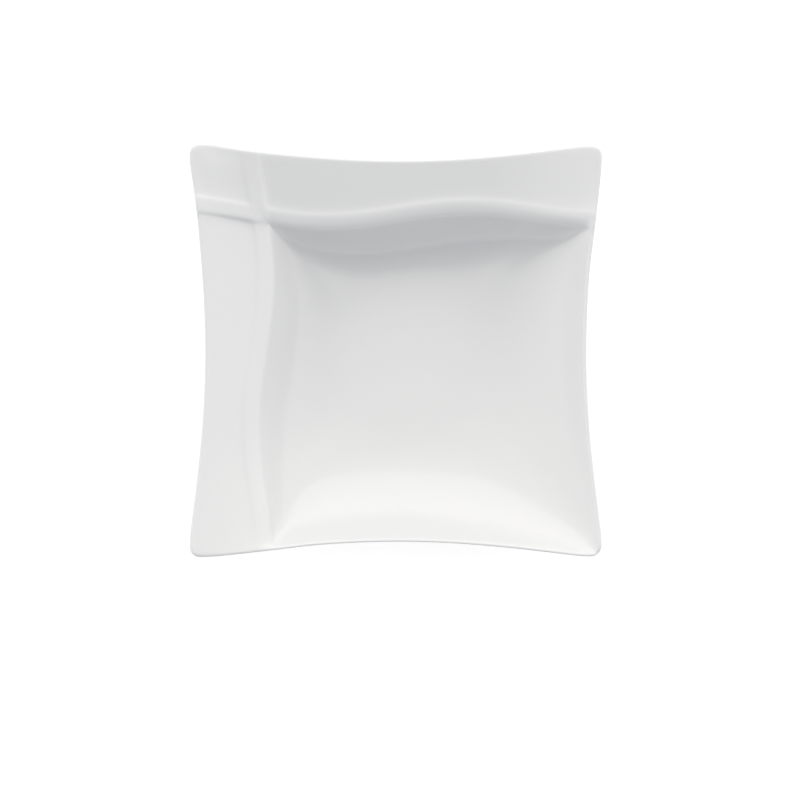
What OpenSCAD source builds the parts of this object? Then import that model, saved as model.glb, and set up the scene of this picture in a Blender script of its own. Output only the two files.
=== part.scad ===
// Deep square plate of glazed porcelain. Two neighbouring sides carry a broad sloping flange,
// the other two run straight down into the well. A raised wavy band follows the inner edge
// of each flange, and the plate stands on a round foot ring that the glaze leaves bare.
// The plate is the same on both sides of the diagonal from the back left corner.

/* [Outline] */
// Width and depth over the corners
plate_w = 240; // [220:1:280]
// How far each side bows in at its middle
side_bow = 9; // [2:0.1:12]
// Radius of the corners, seen from above
corner_r = 8; // [5:0.5:12]

/* [Rim] */
// Lowest height of the front and right rims
plain_rim_h = 45.5; // [42:0.5:56]
// Lowest height of the back and left rims
flange_rim_h = 52; // [48:0.5:62]
// Climb of a rim from its lowest point to its farther corner
corner_rise = 11.5; // [4:0.5:16]
// Place of a rim's lowest point, from the middle of its side
dip_at = 24; // [0:1:40]

/* [Shell] */
// Thickness of the fired body
body_t = 3.4; // [2.8:0.1:5]
// Thickness of the glaze
glaze_t = 0.35; // [0.2:0.05:0.6]

/* [Well] */
// Diameter of the well's flat round floor
floor_d = 80; // [70:1:96]
// Offset of the well and the foot towards the front and towards the right
well_off = 7; // [0:0.5:12]
// How fast the front and right walls steepen
plain_power = 2.3; // [1.8:0.05:3]
// How fast the back and left walls steepen
flange_power = 2.95; // [1.8:0.05:3.4]
// How fast the well turns from a round floor to a square rim
square_power = 1.9; // [1:0.05:2.5]
// Width over which two walls melt into each other in the well's corners
corner_melt = 26; // [8:1:50]

/* [Flange and band] */
// Width of a flange, from the corner line to the middle of its band
flange_w = 39.5; // [30:0.5:48]
// Rise of a flange for each millimetre outwards
flange_slope = 0.34; // [0.2:0.01:0.5]
// Rise of a flange at the end where it runs out to a plain side
flange_end_slope = 0.16; // [0.05:0.01:0.3]
// Height over which a flange melts into the next side
flange_melt = 9; // [2:0.5:14]
// Height over which the underside rounds from a flange to its wall
fold_melt = 13; // [4:0.5:16]
// How far inside the band's middle the wall begins
wall_in = 3; // [0:0.5:5]
// Width of the band's flat top
band_w = 8.5; // [4:0.5:12]
// Width of the slope on each side of the band
band_edge = 1.25; // [1:0.25:3]
// Height of the band
band_h = 1.1; // [0.5:0.1:2.5]
// Swing of the band's wave to each side
wave_h = 4.4; // [0:0.1:7]
// Length of one wave
wave_l = 170; // [120:5:240]

/* [Foot] */
// Diameter that the foot ring stands on
foot_d = 106; // [90:1:112]
// Height of the foot ring
foot_h = 6.5; // [5:0.1:9]
// Width of the foot ring's standing face
foot_face = 4; // [3:0.25:7]
// How far the ring flares out to the bowl
foot_flare = 4; // [2:0.25:5]

/* [Hidden] */
$fn = 96;

// The shape is worked out in two coordinates that read alike on both sides of the diagonal:
// p grows to the left and q to the back, so flanges lie at high values and plain walls at low.
// The plate's widest points lie on the corners' arcs, a little inside the square that the arcs
// round off.
corner_start = 0.6; // where the corner lines lie, in corner radii
half_w = plate_w / 2 + corner_r * (1 - cos(45 * (1 - corner_start)));
lip_r = body_t / 2;
lip_crown = 0.65; // height of the lip's top over the middle layer, in lip radii
lip_lift = lip_r * lip_crown;
plain_mid = plain_rim_h - lip_lift;
flange_mid = flange_rim_h - lip_lift;
floor_mid = foot_h + body_t / 2;
floor_r = floor_d / 2;
band_at = half_w - flange_w;
band_half = band_w / 2;
band_foot = band_half + band_edge;

foot_r = foot_d / 2;
seat_r = foot_r + foot_flare;
foot_bevel = 0.6;
foot_land = 2 * glaze_t; // upright edge of the ring, which the glaze ends against
inner_slope = 1.5; // how far the ring's inner side leans
ring_in = foot_r - foot_bevel - foot_face - foot_bevel - inner_slope;
glaze_gap = 0.1; // between the glaze and the ring
hole_r = seat_r + glaze_gap;
seat_melt = 12; // width over which the underside flattens towards the foot

// Each side of the plate as a height over the coordinate across it, u, and along it, v.
// It is the height of a layer that lies t above the middle of the shell.
bow_power = 1.3; // how slowly a side begins to bow in by its corners
function bow(v) = side_bow * pow(1 - pow(min(abs(v) / (half_w - corner_r / 2), 1), 2), bow_power);
function half_side(v) = half_w - bow(v);
function rim_climb(v) = corner_rise * pow((v - dip_at) / (half_w + dip_at), 2);
function wave(v) = band_at + wave_h * sin(360 * v / wave_l);
function thick(t, slope) = t * sqrt(1 + slope * slope);
function melt_max(a, b, k) = max(a, b) + pow(max(k - abs(a - b), 0), 2) / (4 * k);

// How far up a wall a point lies, from 0 at the floor to 1 at the wall's top. The distance
// from the well's middle is taken round near the floor and square near the rim.
function plain_top(v) = half_side(v) - well_off;
function flange_top(v) = wave(v) - wall_in + well_off;
function part_up(d, top) = min(max((d - floor_r) / (top - floor_r), 0), 1);
function roundness(out) = pow(1 - out, square_power);
function up_wall(d, v, top) =
    let (round = roundness(part_up(d, top)),
         along = min(abs(well_off - v), d))
    max(sqrt(d * d + round * along * along) - floor_r, 0) / (top - floor_r);
function wall(x, run, rise, power, t) =
    floor_mid + rise * pow(x, power) + thick(t, power * rise / run * pow(x, power - 1));

function plain_wall(u, v, t) =
    let (top = plain_top(v))
    wall(up_wall(-u - well_off, v, top), top - floor_r, plain_mid + rim_climb(v) - floor_mid,
         plain_power, t);

// A flange flattens towards its end, where it comes up to the plain side's rim
end_from = 0.38; // where the flattening starts, in half widths from the middle of the side
function slope_at(v) =
    flange_slope + (flange_end_slope - flange_slope) * smooth((v / half_w - end_from) / (1 - end_from));
function flange(u, v) = flange_mid + rim_climb(v) - slope_at(v) * (half_side(v) - u);
function flange_wall(u, v, t) =
    let (top = flange_top(v))
    wall(up_wall(u + well_off, v, top), top - floor_r, flange(top - well_off, v) - floor_mid,
         flange_power, t);

function flange_side(u, v, t) =
    let (a = flange_wall(u, v, t),
         b = flange(u, v) + thick(t, slope_at(v)))
    t < 0 ? -melt_max(-a, -b, fold_melt) : min(a, b);
function side(u, v, t) = u < -well_off ? plain_wall(u, v, t) : flange_side(u, v, t);

// Two sides melt into each other in the well's corners. By the floor the well is round already,
// so the melt follows from how fast the sides part further up, and it ends at the walls' tops.
// On a flange the sides melt again, but not close to the rim.
least_melt = 0.01; // keeps the melt from vanishing
melt_end = 4; // how late up the walls the melt ends
sharp_rim = 0.1; // how far in from the rim the flanges melt fully, in half widths
function up_side(u, v) = part_up(abs(u + well_off), u < -well_off ? plain_top(v) : flange_top(v));
function melt(p, q) =
    let (out = max(up_side(p, -q), up_side(q, -p)),
         round = roundness(out),
         slope = plain_power * (plain_mid - floor_mid) / (half_w - floor_r) * pow(out, plain_power - 1),
         parting = slope * sqrt(2) * (1 - round) / sqrt(1 + round),
         on_flange = smooth((max(p, q) - band_at + band_foot) / band_foot),
         off_rim = smooth((1 - max(abs(p), abs(q)) / half_w) / sharp_rim))
    max(corner_melt / 2 * parting * (1 - pow(out, melt_end)), least_melt)
        + flange_melt * on_flange * off_rim;
function shell_z(p, q, t) = melt_max(side(p, -q, t), side(q, -p, t), melt(p, q));

// The raised band: a flat top with a smooth slope on each side
function smooth(x) = let (c = min(max(x, 0), 1)) c * c * (3 - 2 * c);
function band(d) = smooth((band_foot - abs(d)) / band_edge);
function band_z(p, q) = band_h * max(band(p - wave(-q)), band(q - wave(-p)));

// Grid lines across the plate, closer together on the lip, in the corners and on the band
wall_lines = 8;
foot_lines = 10;
rise_lines = 5;
flange_lines = 4;
lip_turn = 0.3; // where the lip turns down, in lip radii
foot_square = 0.88; // half the square that closes up to the foot's circle, in its radii
ring_fade = 0.45; // how far the circles reach past that square, in half squares
corner_line = half_w - corner_start * corner_r;
lip_lines = [half_w - lip_r, half_w - lip_turn * lip_r, half_w];
foot_half = foot_square * seat_r;
function steps(a, b, n) = [for (i = [1:n]) a + (b - a) * i / n];
lines = concat(
    [for (i = [2:-1:0]) -lip_lines[i]], [-corner_line],
    steps(-corner_line, -well_off - foot_half, wall_lines),
    steps(-well_off - foot_half, -well_off + foot_half, foot_lines),
    steps(-well_off + foot_half, band_at - band_foot, rise_lines),
    [band_at - band_half, band_at, band_at + band_half, band_at + band_foot],
    steps(band_at + band_foot, corner_line, flange_lines),
    lip_lines);
last = len(lines) - 1;
foot_first = 3 + wall_lines;
foot_last = foot_first + foot_lines;

// Places of the grid's points: the lines near a band follow its wave, those near the rim
// follow the bowed sides, and the corners are rounded.
function near_band(u) =
    u < band_at ? smooth((u - foot_half + well_off) / (band_at - band_foot - foot_half + well_off))
                : smooth((corner_line - u) / (corner_line - band_at - band_foot));
function near_rim(u) =
    let (start = u > 0 ? band_at + band_foot : floor_r + well_off)
    pow(max(abs(u) - start, 0) / (half_w - start), 2);
function across(u, v) =
    u + near_band(u) * (wave(-v) - band_at)
      - sign(u) * near_rim(u) * bow(v);

function disc(a, b) =
    a == 0 && b == 0 ? [0, 0]
    : abs(a) >= abs(b) ? a * [cos(45 * b / a), sin(45 * b / a)] : b * [sin(45 * a / b), cos(45 * a / b)];
function rounded(a) =
    let (c = half_w - corner_r, x = (abs(a[0]) - c) / corner_r, y = (abs(a[1]) - c) / corner_r)
    x <= 0 || y <= 0 ? a
    : let (d = disc(x, y)) [sign(a[0]) * (c + corner_r * d[0]), sign(a[1]) * (c + corner_r * d[1])];
function rim_gap(u, v) =
    let (c = half_w - corner_r, x = (abs(u) - c) / corner_r, y = (abs(v) - c) / corner_r)
    corner_r * (1 - max(x, y));

// On the underside the lines around the foot close up to circles about it
function ringed(u, v, place) =
    let (a = (u + well_off) / foot_half,
         b = (v + well_off) / foot_half,
         away = smooth((max(abs(a), abs(b)) - 1) / ring_fade),
         circle = hole_r * disc(a, b) - [well_off, well_off])
    away * place + (1 - away) * circle;

// A point of the shell, where coat is 0 on the fired body and glaze_t on the glaze
function at_plan(u, v, coat, top) =
    let (place = rounded([across(u, v), across(v, u)]) * (1 - (glaze_t - coat) / half_w))
    top ? place : ringed(u, v, place);
function shell_point(u, v, coat, top) =
    let (a = at_plan(u, v, coat, top),
         lip = sqrt(1 - pow(max(1 - rim_gap(u, v) / lip_r, 0), 2)),
         t = lip * (body_t / 2 + coat),
         away = smooth((norm(a + [well_off, well_off]) - hole_r) / seat_melt),
         under = away * shell_z(a[0], a[1], -t) + (1 - away) * (foot_h - coat))
    [-a[0], a[1], top ? shell_z(a[0], a[1], t) + lip * band_z(a[0], a[1]) : under];

// Points and faces of one surface: the upper sheet, then the lower one, which shares the rim
upper_count = (last + 1) * (last + 1);
surface_count = upper_count + (last - 1) * (last - 1);
function surface_points(coat) = concat(
    [for (u = lines, v = lines) shell_point(u, v, coat, true)],
    [for (i = [1:last - 1], j = [1:last - 1]) shell_point(lines[i], lines[j], coat, false)]);
function upper(i, j) = i * (last + 1) + j;
function lower(i, j) =
    i == 0 || j == 0 || i == last || j == last ? upper(i, j)
                                               : upper_count + (i - 1) * (last - 1) + j - 1;
function in_foot(i, j) = i >= foot_first && i < foot_last && j >= foot_first && j < foot_last;
function quad(a, b, c, d, crossed) = crossed ? [[a, b, d], [b, c, d]] : [[a, b, c], [a, c, d]];
function crossed(i, j) = (lines[i] < -well_off) != (lines[j] < -well_off);
function surface_faces(open_foot) = [
    for (i = [0:last - 1], j = [0:last - 1])
        each quad(upper(i, j), upper(i + 1, j), upper(i + 1, j + 1), upper(i, j + 1), crossed(i, j)),
    for (i = [0:last - 1], j = [0:last - 1]) if (!open_foot || !in_foot(i, j))
        for (f = quad(lower(i, j), lower(i + 1, j), lower(i + 1, j + 1), lower(i, j + 1), crossed(i, j)))
            [f[2], f[1], f[0]]];

// The edge of the glaze around the foot, from the inner surface to the outer one
foot_ring_path = concat(
    [for (i = [foot_first:foot_last - 1]) [i, foot_first]],
    [for (j = [foot_first:foot_last - 1]) [foot_last, j]],
    [for (i = [foot_last:-1:foot_first + 1]) [i, foot_last]],
    [for (j = [foot_last:-1:foot_first + 1]) [foot_first, j]]);
function foot_edge_faces() = [
    for (k = [0:len(foot_ring_path) - 1])
        let (a = foot_ring_path[k],
             b = foot_ring_path[(k + 1) % len(foot_ring_path)],
             a0 = lower(a[0], a[1]),
             b0 = lower(b[0], b[1]))
        each quad(b0, a0, a0 + surface_count, b0 + surface_count, false)];

// The fired porcelain, from lip to lip, flat underneath where the foot ring sits
module porcelain_body() {
    color("#f3efe6") polyhedron(surface_points(0), surface_faces(false), convexity = 6);
}

// The glaze that covers the face, runs over the lip and ends at the foot ring
module glaze_coat() {
    outer = surface_faces(true);
    inner = [for (f = outer) [f[2] + surface_count, f[1] + surface_count, f[0] + surface_count]];
    color("#f6f7f6")
        polyhedron(concat(surface_points(glaze_t), surface_points(0)),
                   concat(outer, inner, foot_edge_faces()), convexity = 8);
}

// The bare ring that the plate stands on, flared out to the bowl and bevelled at its face
module foot_ring() {
    flare_h = foot_h - foot_land;
    flare = [for (a = [0:10:90])
        [seat_r - foot_flare * cos(a), flare_h - foot_flare * (1 - sin(a))]];
    profile = concat(
        [[ring_in + inner_slope + foot_bevel, 0], [foot_r - foot_bevel, 0], [foot_r, foot_bevel]],
        flare,
        [[seat_r, foot_h], [ring_in, foot_h], [ring_in + inner_slope, foot_bevel]]);
    color("#e6dfd0") translate([well_off, -well_off, 0]) rotate_extrude() polygon(profile);
}

// The glazed disc inside the foot ring
module recess_glaze() {
    color("#f6f7f6") translate([well_off, -well_off, foot_h - glaze_t])
        cylinder(r = ring_in - glaze_gap, h = glaze_t);
}

porcelain_body();
glaze_coat();
foot_ring();
recess_glaze();
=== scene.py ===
# %% [markdown]
# # A deep square plate in glazed porcelain
#
# The plate is one casting. Two neighbouring sides carry a broad sloping flange with a raised wavy band,
# the other two run straight down into the well, and a round foot ring carries it all. The kiln leaves two
# materials to show: a glassy white glaze nearly everywhere, and bare matt porcelain on the foot ring.
#
# We load the imported solids first. They are the plate at its real size, in metres, and nothing below moves
# Their box is kept, and the floor is laid at its bottom.

# %% Load the solids
import math

import bpy
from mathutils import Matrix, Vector


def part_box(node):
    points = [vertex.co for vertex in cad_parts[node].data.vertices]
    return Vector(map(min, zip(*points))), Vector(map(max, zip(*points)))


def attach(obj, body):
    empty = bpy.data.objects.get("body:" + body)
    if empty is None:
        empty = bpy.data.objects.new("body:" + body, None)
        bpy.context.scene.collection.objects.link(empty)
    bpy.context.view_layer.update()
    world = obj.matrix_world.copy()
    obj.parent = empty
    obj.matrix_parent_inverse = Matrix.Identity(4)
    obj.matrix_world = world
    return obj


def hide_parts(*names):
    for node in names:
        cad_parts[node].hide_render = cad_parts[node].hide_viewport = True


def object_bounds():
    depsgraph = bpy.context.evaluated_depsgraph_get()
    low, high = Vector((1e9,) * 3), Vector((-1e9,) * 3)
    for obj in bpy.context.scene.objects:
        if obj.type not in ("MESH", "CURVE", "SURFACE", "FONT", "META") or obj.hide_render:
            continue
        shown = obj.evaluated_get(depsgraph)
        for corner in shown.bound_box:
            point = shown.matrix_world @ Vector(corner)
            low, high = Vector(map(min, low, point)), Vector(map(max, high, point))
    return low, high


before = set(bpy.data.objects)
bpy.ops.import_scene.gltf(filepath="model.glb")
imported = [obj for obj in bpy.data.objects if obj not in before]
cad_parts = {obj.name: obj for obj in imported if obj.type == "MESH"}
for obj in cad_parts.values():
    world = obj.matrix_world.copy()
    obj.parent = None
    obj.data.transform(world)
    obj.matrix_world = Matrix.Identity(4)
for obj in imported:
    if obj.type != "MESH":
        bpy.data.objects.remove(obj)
cad_low, cad_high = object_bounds()
print("solids:", sorted(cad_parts), "size in mm:", [round(1000 * s, 1) for s in cad_high - cad_low])

# %% [markdown]
# ## The camera
#
# The plate is seen from straight above. A lens far away keeps the tall corners from spreading, and a camera
# that stands over the middle of the picture needs no lens shift. The scale is a measured one: the number of
# pixels that one metre takes at the height of the rim. Lens length and camera place follow from it.

# %% Set up the camera
PICTURE = 800                     # pixels on each side of the picture
PLATE_AT = (396.4, 351.2)         # pixel of the plate's middle
RIM_SCALE = 1716.0                # pixels that a metre at the rim takes
RIM_HEIGHT = 0.050                # height at which that scale holds, in metres
CAMERA_AWAY = 1.05                # distance from the rim to the camera
CAMERA_TILT = math.radians(1.2)   # lean of the camera towards the front
CAMERA_NEAR = 0.05                # nearest distance that the camera sees
SENSOR = 36.0                     # width of the camera's sensor in millimetres

lens_data = bpy.data.cameras.new("overhead")
lens_data.sensor_width = SENSOR
lens_data.lens = RIM_SCALE * CAMERA_AWAY * SENSOR / PICTURE
lens_data.clip_start = CAMERA_NEAR
camera = bpy.data.objects.new("overhead", lens_data)
bpy.context.scene.collection.objects.link(camera)
aim = Vector(((PICTURE / 2 - PLATE_AT[0]) / RIM_SCALE, (PLATE_AT[1] - PICTURE / 2) / RIM_SCALE, RIM_HEIGHT))
camera.location = aim + CAMERA_AWAY * Vector((0, -math.sin(CAMERA_TILT), math.cos(CAMERA_TILT)))
camera.rotation_euler = (CAMERA_TILT, 0, 0)
bpy.context.scene.camera = camera
print("lens:", round(lens_data.lens, 1), "mm, camera at", [round(c, 3) for c in camera.location])

# %% [markdown]
# ## Small helpers for modelling
#
# Operators act on whatever is selected, and the solids arrive selected. So each piece starts with a clean
# selection and one active object.

# %% Helpers


def only(piece):
    """Selects one object and makes it the active one."""
    bpy.ops.object.select_all(action="DESELECT")
    piece.select_set(True)
    bpy.context.view_layer.objects.active = piece


def copy_of(source, name):
    """A copy of an object with a mesh of its own, unparented, at the origin."""
    piece = bpy.data.objects.new(name, source.data.copy())
    bpy.context.scene.collection.objects.link(piece)
    only(piece)
    return piece


def modify(piece, kind, **settings):
    """Adds a modifier with these settings and applies it."""
    only(piece)
    modifier = piece.modifiers.new(kind.title(), kind)
    for name, value in settings.items():
        setattr(modifier, name, value)
    bpy.ops.object.modifier_apply(modifier=modifier.name)


def report(piece):
    """Prints a piece's size and how many faces it has."""
    corners = [Vector(c) for c in piece.bound_box]
    size = [1000 * (max(c[i] for c in corners) - min(c[i] for c in corners)) for i in range(3)]
    print(piece.name, "mm:", [round(s, 2) for s in size], "faces:", len(piece.data.polygons))


# %% [markdown]
# ## The fired body
#
# The body is the white clay itself, pressed to shape and fired. It could be modelled from a grid by pulling
# its corners up, but the solid already holds every curve of it as a net of points. So we take a copy of the
# net, merge its loose triangles, turn them back into the four-sided faces they were cut from, and let a
# subdivision surface round them. Two levels bring the faces down to about two millimetres.

# %% Smooth a copy of the body
SMOOTHING = 2                     # times that the faces are divided
MERGE = 2e-6                      # points closer than this, in metres, are one
WIDEST_BEND = math.radians(70)    # how far two triangles of one face may bend or skew

fired_body = copy_of(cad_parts["porcelain_body"], "fired_body")
bpy.ops.object.mode_set(mode="EDIT")
bpy.ops.mesh.select_all(action="SELECT")
bpy.ops.mesh.remove_doubles(threshold=MERGE)
bpy.ops.mesh.tris_convert_to_quads(face_threshold=WIDEST_BEND, shape_threshold=WIDEST_BEND)
bpy.ops.object.mode_set(mode="OBJECT")
sides = [len(face.vertices) for face in fired_body.data.polygons]
print("four-sided faces:", sides.count(4), "triangles left:", sides.count(3))
modify(fired_body, "SUBSURF", levels=SMOOTHING, render_levels=SMOOTHING)
bpy.ops.object.shade_smooth()
report(fired_body)

# %% [markdown]
# ## The glaze
#
# A plate is dipped in glaze, and the foot is wiped clean before the kiln. We do the same: copy the body,
# take away the faces over the foot ring, and thicken what is left outwards by the depth of the glaze. That
# gives a closed coat which runs over the lip and ends at the ring with an edge of its own. The faces to take
# away are picked in code, by where they lie and which way they look.

# %% Dip the body and wipe the foot
foot_low, foot_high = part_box("foot_ring")
coat_low, coat_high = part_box("recess_glaze")
FOOT_AT = (foot_low + foot_high) / 2
SEAT_R = (foot_high.x - foot_low.x) / 2
SEAT_Z = foot_high.z
GLAZE = coat_high.z - coat_low.z  # depth of the glaze
FLAT = 0.9                        # least share of a seat face's normal that points down
GLAZE_EDGE = math.radians(50)     # bends of the glaze below this look smooth


def pick_faces(piece, wanted):
    """In edit mode, selects just the faces that wanted(centre, normal) is true for."""
    bpy.ops.mesh.select_all(action="DESELECT")
    bpy.ops.object.mode_set(mode="OBJECT")
    for face in piece.data.polygons:
        face.select = bool(wanted(face.center, face.normal))
    bpy.ops.object.mode_set(mode="EDIT")


def on_the_foot(centre, normal):
    """True for the flat faces underneath that the foot ring sits against."""
    out = math.hypot(centre.x - FOOT_AT.x, centre.y - FOOT_AT.y)
    return normal.z < -FLAT and out < SEAT_R and centre.z < SEAT_Z + GLAZE


glaze_skin = copy_of(fired_body, "glaze_skin")
bpy.ops.object.mode_set(mode="EDIT")
bpy.ops.mesh.select_mode(type="FACE")
pick_faces(glaze_skin, on_the_foot)
bpy.ops.mesh.delete(type="FACE")
bpy.ops.object.mode_set(mode="OBJECT")
modify(glaze_skin, "SOLIDIFY", thickness=GLAZE, offset=1, use_even_offset=True)
bpy.ops.object.shade_smooth_by_angle(angle=GLAZE_EDGE)
report(glaze_skin)

# %% [markdown]
# ## The foot ring
#
# The ring is turned on the wheel: upright outside, flared out to the bowl, bevelled where it stands, and
# leaning on its inner side. A circle is extruded from one turn of that profile to the next, and the last
# turn falls on the first, where the two are merged. A small bevel takes the sharpness off the edges.

# %% Turn the foot ring
FOOT_TURNS = 160                  # points around the ring
FLARE = 0.004                     # how far the ring flares out to the bowl
FLARE_STEPS = 6
FOOT_FACE = 0.004                 # width of the face that the ring stands on
FOOT_BEVEL = 0.0006               # bevel on both sides of that face
INNER_SLOPE = 0.0015              # how far the inner side leans
LAND = GLAZE                      # upright edge that the glaze ends against
EDGE_STEPS = 3                    # steps in a rounded edge
FOOT_EDGE = 0.00025               # rounding of the ring's edges
FOOT_SHARP = math.radians(25)     # edges that bend more than this are rounded
FOOT_SMOOTH = math.radians(40)    # bends below this look smooth
foot_r = SEAT_R - FLARE
inner_r = foot_r - FOOT_FACE - 2 * FOOT_BEVEL - INNER_SLOPE
flare_z = SEAT_Z - LAND - FLARE


def flare_turn(step):
    """One turn of the quarter circle that leads from the upright side out to the bowl."""
    angle = math.pi / 2 * step / FLARE_STEPS
    return SEAT_R - FLARE * math.cos(angle), flare_z + FLARE * math.sin(angle)


foot_turns = [
    (foot_r - FOOT_BEVEL, 0.0),
    (foot_r, FOOT_BEVEL),
    *[flare_turn(step) for step in range(FLARE_STEPS + 1)],
    (SEAT_R, SEAT_Z),
    (inner_r, SEAT_Z),
    (inner_r + INNER_SLOPE, FOOT_BEVEL),
    (inner_r + INNER_SLOPE + FOOT_BEVEL, 0.0),
    (foot_r - FOOT_BEVEL, 0.0),
]


def turn_profile(name, turns):
    """A ring made by extruding a circle from one (radius, height) to the next."""
    bpy.ops.object.select_all(action="DESELECT")
    radius, height = turns[0]
    at = (FOOT_AT.x, FOOT_AT.y, height)
    bpy.ops.mesh.primitive_circle_add(vertices=FOOT_TURNS, radius=radius, location=at, fill_type="NOTHING")
    ring = bpy.context.object
    ring.name = name
    bpy.ops.object.mode_set(mode="EDIT")
    bpy.ops.mesh.select_mode(type="VERT")
    bpy.ops.mesh.select_all(action="SELECT")
    for next_radius, next_height in turns[1:]:
        bpy.ops.mesh.extrude_edges_move()
        wider = next_radius / radius
        bpy.ops.transform.resize(value=(wider, wider, 1), center_override=(FOOT_AT.x, FOOT_AT.y, height))
        bpy.ops.transform.translate(value=(0, 0, next_height - height))
        radius, height = next_radius, next_height
    bpy.ops.mesh.select_all(action="SELECT")
    bpy.ops.mesh.remove_doubles(threshold=MERGE)
    bpy.ops.mesh.normals_make_consistent(inside=False)
    bpy.ops.object.mode_set(mode="OBJECT")
    bpy.ops.object.transform_apply(location=True, rotation=True, scale=True)
    return ring


bare_foot = turn_profile("bare_foot", foot_turns)
modify(bare_foot, "BEVEL", width=FOOT_EDGE, segments=EDGE_STEPS, limit_method="ANGLE",
       angle_limit=FOOT_SHARP)
bpy.ops.object.shade_smooth_by_angle(angle=FOOT_SMOOTH)
report(bare_foot)

# %% [markdown]
# ## The glaze inside the foot
#
# The wiped ring cuts off a round patch of glaze under the plate. It is a filled circle that is inset a few
# times, sunk by a hair towards its middle, where the fired clay sags, and thickened to the glaze's depth.

# %% Fill the recess
RECESS_R = (coat_high.x - coat_low.x) / 2
RECESS_INSETS = 6
RECESS_SAG = 0.00004              # how far the middle is sunk
RECESS_EDGE = 0.00012             # rounding of the patch's edges
RECESS_SHARP = math.radians(40)   # edges that bend more than this are rounded

bpy.ops.object.select_all(action="DESELECT")
recess_at = (FOOT_AT.x, FOOT_AT.y, coat_low.z)
bpy.ops.mesh.primitive_circle_add(vertices=FOOT_TURNS, radius=RECESS_R, location=recess_at, fill_type="NGON")
recess_patch = bpy.context.object
recess_patch.name = "recess_patch"
bpy.ops.object.mode_set(mode="EDIT")
bpy.ops.mesh.select_mode(type="FACE")
bpy.ops.mesh.select_all(action="SELECT")
for inset in range(RECESS_INSETS):
    bpy.ops.mesh.inset(thickness=RECESS_R / (RECESS_INSETS + 1), depth=0)
    bpy.ops.transform.translate(value=(0, 0, RECESS_SAG / RECESS_INSETS))
bpy.ops.mesh.select_all(action="SELECT")
bpy.ops.mesh.normals_make_consistent(inside=False)
bpy.ops.object.mode_set(mode="OBJECT")
bpy.ops.object.transform_apply(location=True, rotation=True, scale=True)
if recess_patch.data.polygons[0].normal.z > 0:
    recess_patch.data.flip_normals()
modify(recess_patch, "SOLIDIFY", thickness=GLAZE - RECESS_SAG, offset=-1)
modify(recess_patch, "BEVEL", width=RECESS_EDGE, segments=EDGE_STEPS, limit_method="ANGLE",
       angle_limit=RECESS_SHARP)
bpy.ops.object.shade_smooth_by_angle(angle=GLAZE_EDGE)
report(recess_patch)

# %% [markdown]
# ## Writing finishes as sums
#
# A finish is a net of shader nodes, which is easier to read as a formula. Value wraps one socket, and sums
# and products on it add Math nodes. Finish.node adds any other node: its settings are set first, then its
# inputs are given numbers, colours or links.

# %% Finish helpers


class Value:
    """One socket of a finish that Python's sums and products work on."""

    def __init__(self, finish, socket):
        self.finish = finish
        self.socket = socket

    def _sum(self, operation, first, second):
        made = self.finish.node("Math", {"operation": operation}, {0: first, 1: second})
        return Value(self.finish, made.outputs[0])

    def __add__(self, other):
        return self._sum("ADD", self, other)

    __radd__ = __add__

    def __mul__(self, other):
        return self._sum("MULTIPLY", self, other)

    __rmul__ = __mul__

    def __sub__(self, other):
        return self._sum("SUBTRACT", self, other)

    def __rsub__(self, other):
        return self._sum("SUBTRACT", other, self)


class Finish:
    """A material or a world as a net of nodes."""

    def __init__(self, owner):
        owner.use_nodes = True
        self.owner = owner
        self.tree = owner.node_tree
        self.tree.nodes.clear()

    def node(self, kind, settings=None, inputs=None):
        made = self.tree.nodes.new("ShaderNode" + kind)
        for name, value in (settings or {}).items():
            setattr(made, name, value)
        for name, value in (inputs or {}).items():
            if isinstance(value, Value):
                self.tree.links.new(value.socket, made.inputs[name])
            else:
                made.inputs[name].default_value = value
        return made

    def value(self, output, kind, settings=None, inputs=None):
        return Value(self, self.node(kind, settings, inputs).outputs[output])

    def mix(self, share, first, second):
        """A colour between two others. The node's colour sockets are its seventh and eighth."""
        made = self.node("Mix", {"data_type": "RGBA"}, {0: share, 6: first, 7: second})
        return Value(self, made.outputs[2])


# %% [markdown]
# ## The glaze finish
#
# Clear glaze over white clay looks white because light goes through the glass, scatters in the clay and
# comes back, while a little of it mirrors off the top. A soft diffuse base under a smooth coat gives both.
# The glass is never quite even: it is a touch cooler where it lies thick, and its surface has a slow swell
# and a fine dimple that only show in what it mirrors.

# %% Glaze finish
THICK_GLAZE = (0.808, 0.81, 0.812, 1)
THIN_GLAZE = (0.824, 0.824, 0.821, 1)
DRIFT_SCALE = 14.0                # how close its changes of tone lie, for each metre
SWELL_SCALE = 45.0
DIMPLE_SCALE = 520.0
SWELL_HEIGHT = 0.00004            # in metres
DIMPLE_HEIGHT = 0.000004
GLAZE_BUMP = 0.6                  # share of that height which shows
UNDER_ROUGH, UNDER_DRIFT = 0.32, 0.08
UNDER_GLOSS = 0.3
COAT_LEAST, COAT_DRIFT = 0.85, 0.15
COAT_ROUGH = 0.09


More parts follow.
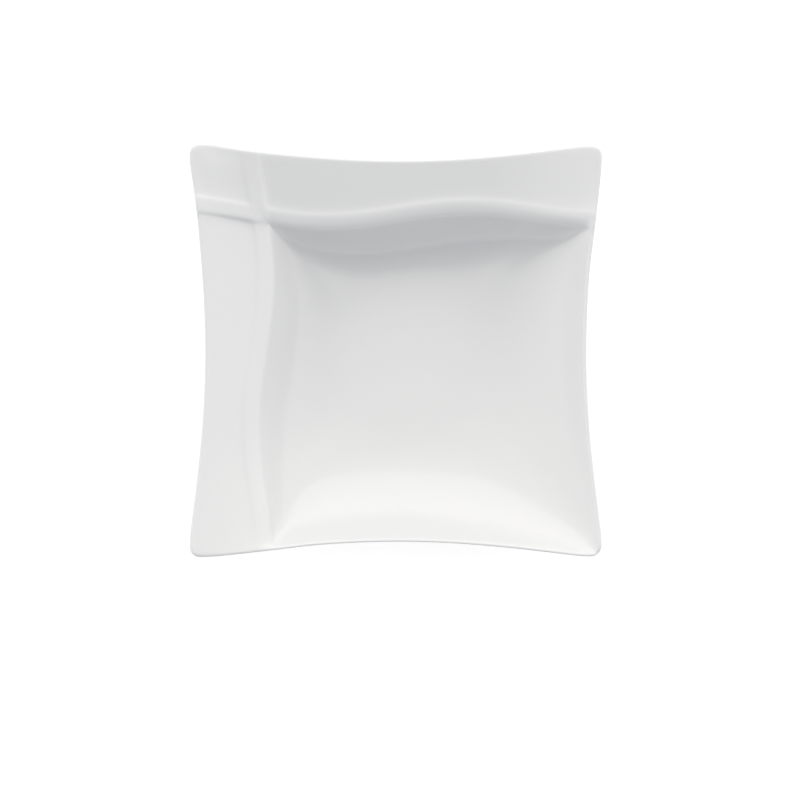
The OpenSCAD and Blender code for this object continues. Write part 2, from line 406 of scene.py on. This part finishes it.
def glaze_finish():
    """Clear glaze over white clay."""
    finish = Finish(bpy.data.materials.new("white_glaze"))
    place = finish.value("Object", "TexCoord")
    drift = finish.value("Fac", "TexNoise", inputs={"Vector": place, "Scale": DRIFT_SCALE, "Detail": 2.0})
    dimple = finish.value("Fac", "TexNoise", inputs={"Vector": place, "Scale": DIMPLE_SCALE, "Detail": 1.0})
    swell = finish.value("Fac", "TexNoise", inputs={"Vector": place, "Scale": SWELL_SCALE, "Detail": 1.0})
    height = swell * SWELL_HEIGHT + dimple * DIMPLE_HEIGHT
    bump = finish.value("Normal", "Bump", inputs={"Strength": GLAZE_BUMP, "Distance": 1.0, "Height": height})
    shader = finish.value("BSDF", "BsdfPrincipled", inputs={
        "Base Color": finish.mix(drift, THICK_GLAZE, THIN_GLAZE),
        "Roughness": UNDER_ROUGH + drift * UNDER_DRIFT,
        "Specular IOR Level": UNDER_GLOSS,
        "Coat Weight": COAT_LEAST + dimple * COAT_DRIFT,
        "Coat Roughness": COAT_ROUGH,
        "Normal": bump,
    })
    finish.node("OutputMaterial", inputs={"Surface": shader})
    return finish.owner


glaze = glaze_finish()
print("finish:", glaze.name)

# %% [markdown]
# ## The bare clay finishes
#
# The wiped ring is fired clay with no glass on it: matt, a little creamy, with a fine grain. Where it has
# stood on tables it is rubbed slightly grey. The body under the glaze is the same clay, unworn.

# %% Bare clay finish
BARE, RUBBED = (0.81, 0.8, 0.78, 1), (0.6, 0.59, 0.56, 1)
FIRED, FIRED_LOW = (0.82, 0.8, 0.75, 1), (0.8, 0.78, 0.73, 1)
WORN_HEIGHT = 0.0008              # how far up from the table the clay is rubbed, in metres
GRAIN_SCALE = 1800.0
CLOUD_SCALE = 90.0
GRAIN_HEIGHT = 0.00003
GRAIN_BUMP = 0.5                  # share of that height which shows
CLAY_ROUGH, CLAY_DRIFT = 0.68, 0.2
CLAY_GLOSS = 0.35


def clay_finish(name, colour, worn_colour):
    """Matt clay of one colour, which turns to another where it stands."""
    finish = Finish(bpy.data.materials.new(name))
    place = finish.value("Object", "TexCoord")
    grain = finish.value("Fac", "TexNoise", inputs={"Vector": place, "Scale": GRAIN_SCALE, "Detail": 3.0})
    cloud = finish.value("Fac", "TexNoise", inputs={"Vector": place, "Scale": CLOUD_SCALE, "Detail": 3.0})
    axes = finish.node("SeparateXYZ", inputs={"Vector": place})
    height = Value(finish, axes.outputs["Z"])
    low = finish.value("Result", "MapRange", {"interpolation_type": "SMOOTHSTEP"}, {
        "Value": height + cloud * WORN_HEIGHT, "From Min": 0.0, "From Max": 2 * WORN_HEIGHT,
        "To Min": 1.0, "To Max": 0.0})
    base = finish.mix(low * cloud, colour, worn_colour)
    bump = finish.value("Normal", "Bump", inputs={
        "Strength": GRAIN_BUMP, "Distance": 1.0, "Height": grain * GRAIN_HEIGHT})
    shader = finish.value("BSDF", "BsdfPrincipled", inputs={
        "Base Color": base,
        "Roughness": CLAY_ROUGH + grain * CLAY_DRIFT,
        "Specular IOR Level": CLAY_GLOSS,
        "Normal": bump,
    })
    finish.node("OutputMaterial", inputs={"Surface": shader})
    return finish.owner


bare_clay = clay_finish("bare_clay", BARE, RUBBED)
fired_clay = clay_finish("fired_clay", FIRED, FIRED_LOW)
print("finishes:", bare_clay.name, fired_clay.name)

# %% [markdown]
# ## Putting the pieces in place
#
# Every piece takes its finish, rides on the plate's one body, and says which solid it stands for. The
# solids stay where they are for the physics, and only stop showing.

# %% Dress the pieces
DRESSED = (
    (fired_body, fired_clay, "porcelain", "porcelain_body"),
    (glaze_skin, glaze, "glaze", "glaze_coat"),
    (bare_foot, bare_clay, "bare_foot", "foot_ring"),
    (recess_patch, glaze, "glaze", "recess_glaze"),
)
for piece, finish, slot, node in DRESSED:
    piece.data.materials.clear()
    piece.data.materials.append(finish)
    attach(piece, "root")
    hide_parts(node)
    print(piece.name, "stands for", node)

# %% [markdown]
# ## Floor and light
#
# The plate stands on a plain white floor. For light that bounces, the floor is an ordinary matt white. To
# the camera and in mirrored rays it also glows, which brings it up to white and leaves a soft shadow under
# the plate.

# %% Lay the floor
FLOOR = 40.0                      # metres on each side
FLOOR_MATT = (0.82, 0.82, 0.82, 1)
FLOOR_SHADE = (0.4, 0.4, 0.4, 1)  # the part of what the camera sees that takes the shadow
FLOOR_GLOW = 0.74                 # the part that doesn't

bpy.ops.object.select_all(action="DESELECT")
bpy.ops.mesh.primitive_plane_add(size=FLOOR, location=(0, 0, cad_low.z))
floor = bpy.context.object
floor.name = "floor"


def seen_rays(finish):
    """Is 1 for the rays that the eye follows: straight, mirrored or through glass."""
    path = finish.node("LightPath")
    eye, mirrored, through = (
        Value(finish, path.outputs["Is %s Ray" % kind]) for kind in ("Camera", "Glossy", "Transmission"))
    return eye + mirrored + through


def floor_finish():
    """Matt white that looks brighter to the eye than to the light."""
    finish = Finish(bpy.data.materials.new("white_floor"))
    matt = finish.value("BSDF", "BsdfDiffuse", inputs={"Color": FLOOR_MATT})
    shade = finish.value("BSDF", "BsdfDiffuse", inputs={"Color": FLOOR_SHADE})
    glow = finish.value("Emission", "Emission", inputs={"Color": (1, 1, 1, 1), "Strength": FLOOR_GLOW})
    seen = finish.value("Shader", "AddShader", inputs={0: shade, 1: glow})
    shader = finish.value("Shader", "MixShader", inputs={0: seen_rays(finish), 1: matt, 2: seen})
    finish.node("OutputMaterial", inputs={"Surface": shader})
    return finish.owner


floor.data.materials.append(floor_finish())
print("floor:", FLOOR, "m")

# %% [markdown]
# White china shows its shape only if the light has a direction. So the studio is bright overhead and behind
# the plate, a little brighter to both sides, and dim and bluish at the front. The back wall of the well looks
# that way and turns grey. Just over the floor's edge it is white all round, so that the floor runs on into it
# without a line. A wide lamp at the back brings up the front wall.

# %% Light the plate
SKY_LIGHT = 0.895                 # strength of the studio's light overhead and behind
SIDE_LIGHT = 0.45                 # how much stronger it is level with the plate at both sides
DIM_FROM, DIM_TO = -0.66, -0.4    # where it dims towards the front, as the y of its direction
LOW_FROM, LOW_TO = 0.1, 0.2       # where it turns white towards the floor's edge, as the z
LOW_LIGHT = 0.105                 # what brings it up to white there
FRONT_SKY = (0.02, 0.05, 0.115, 1)
BACK_SKY = (1.0, 0.993, 0.981, 1)
LAMP_POWER = 8.4                  # watts
LAMP_SIZE = (2.4, 1.4)
LAMP_AT = Vector((0.0, 1.5, 0.9))


def sky():
    """The studio around the plate, as a world that is brighter in some directions."""
    world = bpy.data.worlds.new("studio")
    bpy.context.scene.world = world
    finish = Finish(world)
    axes = finish.node("SeparateXYZ", inputs={"Vector": finish.value("Generated", "TexCoord")})
    aside, ahead, above = (Value(finish, axes.outputs[name]) for name in "XYZ")
    bright = finish.value("Result", "MapRange", {"interpolation_type": "SMOOTHSTEP"}, {
        "Value": ahead, "From Min": DIM_FROM, "From Max": DIM_TO})
    low = finish.value("Result", "MapRange", {"interpolation_type": "SMOOTHSTEP"}, {
        "Value": above, "From Min": LOW_FROM, "From Max": LOW_TO, "To Min": 1.0, "To Max": 0.0})
    pale = 1 - (1 - bright) * (1 - low)
    light = finish.value("Background", "Background", inputs={
        "Color": finish.mix(pale, FRONT_SKY, BACK_SKY),
        "Strength": SKY_LIGHT + aside * aside * SIDE_LIGHT + low * LOW_LIGHT})
    finish.node("OutputWorld", inputs={"Surface": light})


def lamp(name, at, size, power):
    """A flat lamp that looks at the plate."""
    data = bpy.data.lights.new(name, "AREA")
    data.shape = "RECTANGLE"
    data.size, data.size_y = size
    data.energy = power
    made = bpy.data.objects.new(name, data)
    made.location = at
    made.rotation_euler = (Vector((0, 0, 0)) - at).to_track_quat("-Z", "Y").to_euler()
    bpy.context.scene.collection.objects.link(made)


sky()
lamp("back_lamp", LAMP_AT, LAMP_SIZE, LAMP_POWER)
bpy.context.scene.view_settings.view_transform = "Standard"
print("lamp:", LAMP_POWER, "W, sky:", SKY_LIGHT)
